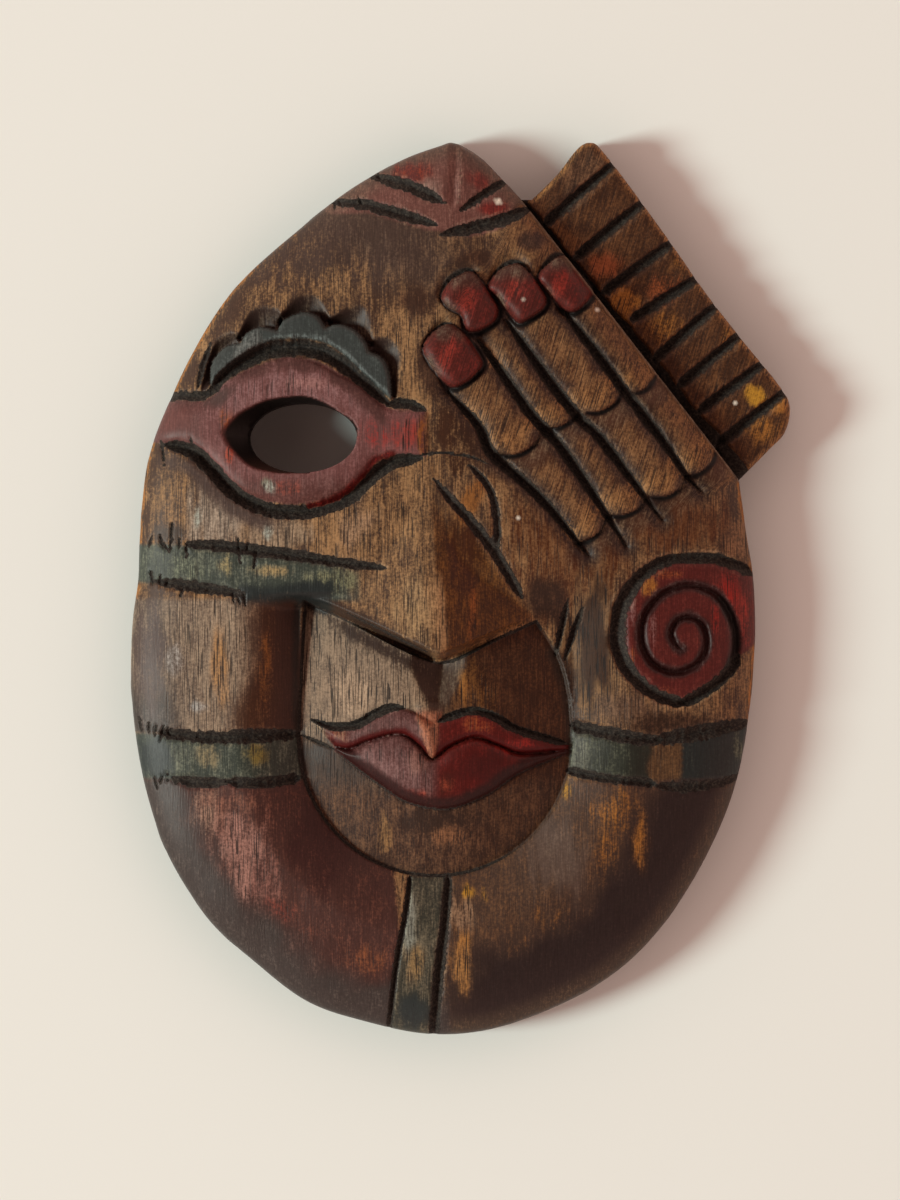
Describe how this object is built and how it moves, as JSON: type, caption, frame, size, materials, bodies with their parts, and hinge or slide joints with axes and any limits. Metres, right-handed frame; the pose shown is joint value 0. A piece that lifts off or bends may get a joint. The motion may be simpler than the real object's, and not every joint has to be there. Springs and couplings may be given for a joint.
{
  "type": "carved wall mask",
  "caption": "Carved and painted wooden wall mask: egg-shaped face with an almond eye hole, a carved hand, a spiral cheek and a ribbed side crest.",
  "frame": {"origin": "centre of the bounding box in X and Y, on the plane of the flat back rim", "axes": "the mask lies on its back: +Z out of the face, +Y towards the top of the head, +X towards the viewer's right, the crest's side"},
  "size_m": [0.1849, 0.2499, 0.036],
  "materials": {
    "carved_wood": "dark-stained, hand-painted in worn red and green-black, satin"
  },
  "bodies": {
    "root": {"mask": "carved_wood"}
  },
  "joints": []
}
